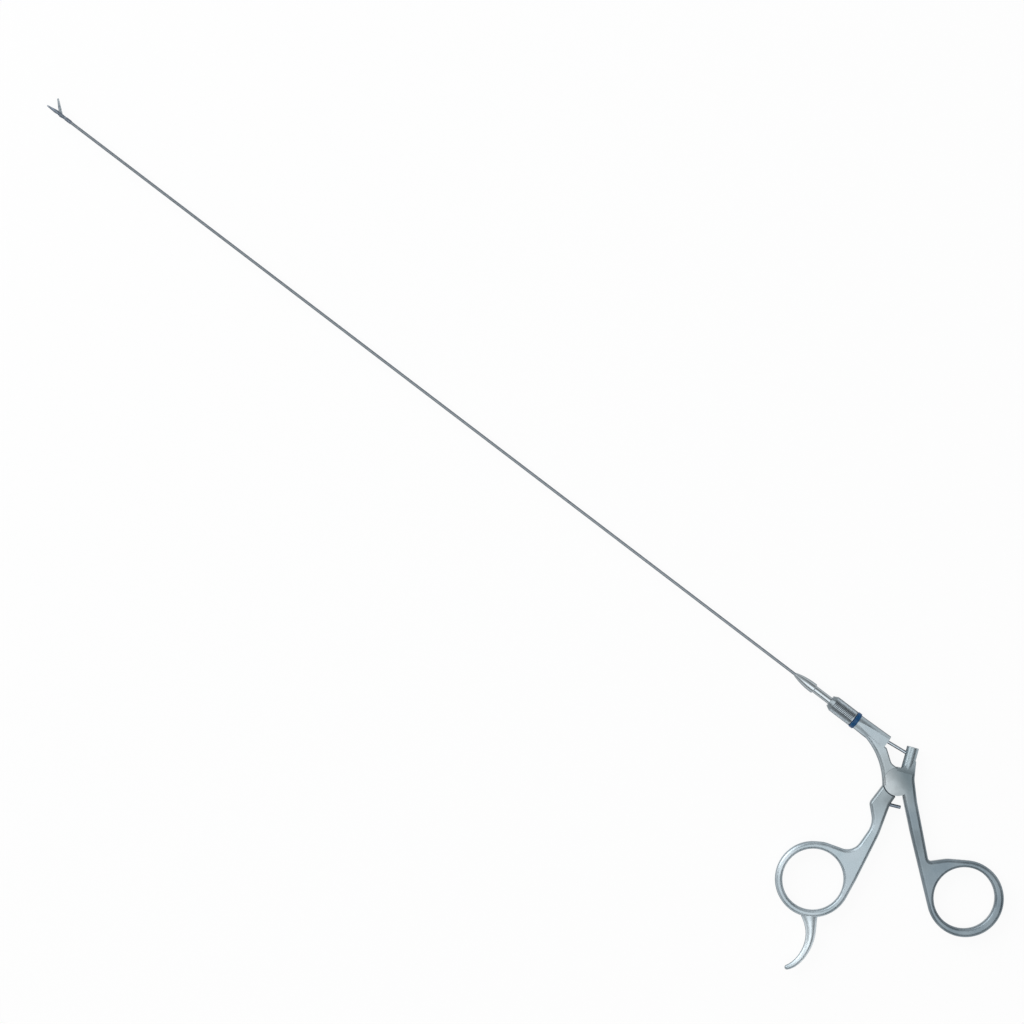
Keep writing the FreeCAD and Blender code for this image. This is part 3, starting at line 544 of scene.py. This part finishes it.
def turnedSteel(name):
    # lathe marks run round the shaft's line
    spec = {**turnedCommon, **turnedSettings[name]}
    material, tree, shader, vector = newFinish(name)
    along = addNode(tree, "ShaderNodeCombineXYZ", (-900, 0))
    feed(tree, splitAxes(tree, vector, (-1050, 0))["X"], along.inputs[0])
    rings = noiseAt(tree, along.outputs[0], *spec["rings"], (-700, 0))
    bands = noiseAt(tree, along.outputs[0], *spec["bands"], (-700, -250))
    ground = mixColour(tree, bands, spec["dark"], spec["light"], (-400, 200))
    feed(tree, paintRimShade(tree, ground, spec, (-200, 100)), shader.inputs["Base Color"])
    rough = mapRange(tree, rings, spec["ringRange"], (-300, -200), spec["roughness"])
    feed(tree, rough, shader.inputs["Roughness"])
    addBump(tree, rings, spec["bump"], shader)
    return material


# each rim colour is painted shade on rounded edges
mottledSettings = {
    "jawSteel": {
        "light": (0.27, 0.315, 0.37),
        "dark": (0.15, 0.185, 0.235),
        "rim": (0.05, 0.065, 0.085),
        "roughness": (0.24, 0.36),
    },
    "bladeSteel": {
        "light": (0.36, 0.405, 0.435),
        "dark": (0.21, 0.25, 0.285),
        "rim": (0.10, 0.12, 0.14),
        "roughness": (0.28, 0.42),
    },
}
mottledCommon = {
    "rimStart": 0.8,
    "rimEnd": 0.35,
    "grain": 14000.0,
    "cloud": 1500.0,
    "bump": (0.3, 0.000008),
}


def mottledSteel(name):
    # hardened jaw steel with a faint cloudy tint left by the heat
    spec = {**mottledCommon, **mottledSettings[name]}
    material, tree, shader, vector = newFinish(name)
    cloud = blastSurface(tree, vector, spec, shader)
    ground = mixColour(tree, cloud, spec["dark"], spec["light"], (-500, 200))
    feed(tree, paintRimShade(tree, ground, spec, (-300, 100)), shader.inputs["Base Color"])
    return material


coatSettings = {
    "blueRing": {
        "light": (0.008, 0.085, 0.215),
        "dark": (0.004, 0.052, 0.150),
        "specular": 0.25,
        "grain": 9000.0,
        "cloud": 900.0,
        "roughness": (0.30, 0.42),
        "bump": (0.2, 0.00001),
    },
    "sealRubber": {
        "light": (0.035, 0.035, 0.037),
        "dark": (0.018, 0.018, 0.020),
        "roughness": (0.55, 0.75),
    },
    "sealPlastic": {
        "light": (0.76, 0.75, 0.71),
        "dark": (0.66, 0.65, 0.61),
        "roughness": (0.35, 0.50),
    },
}
coatCommon = {
    "specular": 0.5,
    "grain": 6000.0,
    "cloud": 700.0,
    "bump": (0.3, 0.00002),
}


def coatFinish(name):
    # the ring's enamel and the two seals, which aren't metal
    spec = {**coatCommon, **coatSettings[name]}
    material, tree, shader, vector = newFinish(name, metallic=0.0)
    cloud = blastSurface(tree, vector, spec, shader)
    ground = mixColour(tree, cloud, spec["dark"], spec["light"], (-500, 200))
    feed(tree, ground, shader.inputs["Base Color"])
    shader.inputs["Specular IOR Level"].default_value = spec["specular"]
    return material


knurlSettings = {
    "crest": (0.40, 0.46, 0.50),
    # painted shade in the groove floors
    "floor": (0.015, 0.022, 0.030),
    "cone": (0.21, 0.245, 0.265),
    "low": 0.00328,                    # distance from the axis where a flute is all floor
    "high": 0.00346,                   # and where it is all crest
    # the rim colour is painted shade on rounded edges
    "rim": (0.080, 0.095, 0.110),
    "rimStart": 0.74,
    "rimEnd": 0.40,
    "grain": 9000.0,
    "cloud": 700.0,
    "roughness": (0.28, 0.38),
    "bump": (0.2, 0.00001),
}


def knurledSteel(spec):
    # the groove floors are painted dark as shade, the crests keep the plain steel tone
    material, tree, shader, vector = newFinish("knurledSteel")
    blastSurface(tree, vector, spec, shader)
    flute = placeGroup(tree, fluteGroup, (-900, 500), Vector=vector, Axis=(0.0, *shaftLine),
                       Floor=spec["low"], Crest=spec["high"])
    ground = mixColour(tree, flute["Height"], spec["floor"], spec["crest"], (-400, 200))
    edged = paintRimShade(tree, ground, spec, (-250, 100))
    ended = mixColour(tree, flute["Cone"], edged, spec["cone"], (-100, 100))
    feed(tree, ended, shader.inputs["Base Color"])
    return material


finishes = {
    "satinFixed": satinSteel("satinFixed"),
    "satinThumbShaded": satinSteel("satinThumbShaded"),
    "polished": turnedSteel("polishedSteel"),
    "rod": turnedSteel("rodSteel"),
    "knurled": knurledSteel(knurlSettings),
    "sheath": turnedSteel("sheathSteel"),
    "jaw": mottledSteel("jawSteel"),
    "blade": mottledSteel("bladeSteel"),
    "blue": coatFinish("blueRing"),
    "rubber": coatFinish("sealRubber"),
    "plastic": coatFinish("sealPlastic"),
}

nodeFinishes = {
    "satinFixed": ["fixed_handle", "stub_cap"],
    "satinThumbShaded": ["thumb_handle", "pivot_rivet"],
    "polished": ["stem_spindle", "nose_cone", "retaining_ring", "wire_ferrule", "pull_wire", "drive_ball"],
    "rod": ["drive_rod"],
    "knurled": ["knurled_sleeve"],
    "sheath": ["sheath_tube"],
    "jaw": ["jaw_housing", "jaw_pivot_pin", "wire_tab", "drive_pin", "stop_stud"],
    "blade": ["blade"],
    "blue": ["colour_ring"],
    "rubber": ["spindle_seal"],
    "plastic": ["rod_seal"],
}


def dress(groups):
    for finish, names in groups.items():
        for name in names:
            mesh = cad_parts[name].data
            mesh.materials.clear()
            mesh.materials.append(finishes[finish])


dress(nodeFinishes)
print("packed pieces dressed")


# The long sheath, with a truly round section. Sizes in metres.
sheathSettings = {
    "bore": 0.00045,                   # radius of the hole
    "edge": 0.00008,
    "support": 0.00024,                # a ring this far from each end keeps the shading even behind it
    "steps": 40,
    "sides": 64,
}


def makeSheath(spec):
    low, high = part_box("sheath_tube")
    start, end = low[0], high[0]
    radius = (high[1] - low[1]) / 2
    bore, edge, support, steps = spec["bore"], spec["edge"], spec["support"], spec["steps"]
    profile = [(start, bore), (start, radius - edge), (start + edge, radius), (start + support, radius)]
    profile += [(start + (end - start) * step / steps, radius) for step in range(1, steps)]
    profile += [(end - support, radius), (end - edge, radius), (end, radius - edge), (end, bore)]
    sides = spec["sides"]
    around = [2 * math.pi * k / sides for k in range(sides)]
    shape = bmesh.new()
    rows = []
    for x, size in profile:
        places = [(x, shaftLine[0] + size * math.cos(angle), shaftLine[1] + size * math.sin(angle))
                  for angle in around]
        rows.append([shape.verts.new(place) for place in places])
    for here, ahead in zip(rows, rows[1:] + rows[:1]):
        for k in range(sides):
            after = (k + 1) % sides
            shape.faces.new((here[k], here[after], ahead[after], ahead[k]))
    mesh = smoothMesh("sheathFine", shape)
    mesh.materials.append(finishes["sheath"])
    sheath = addObject("sheathFine", mesh)
    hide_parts("sheath_tube")
    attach(sheath, "front_end")


makeSheath(sheathSettings)
print("sheath made")
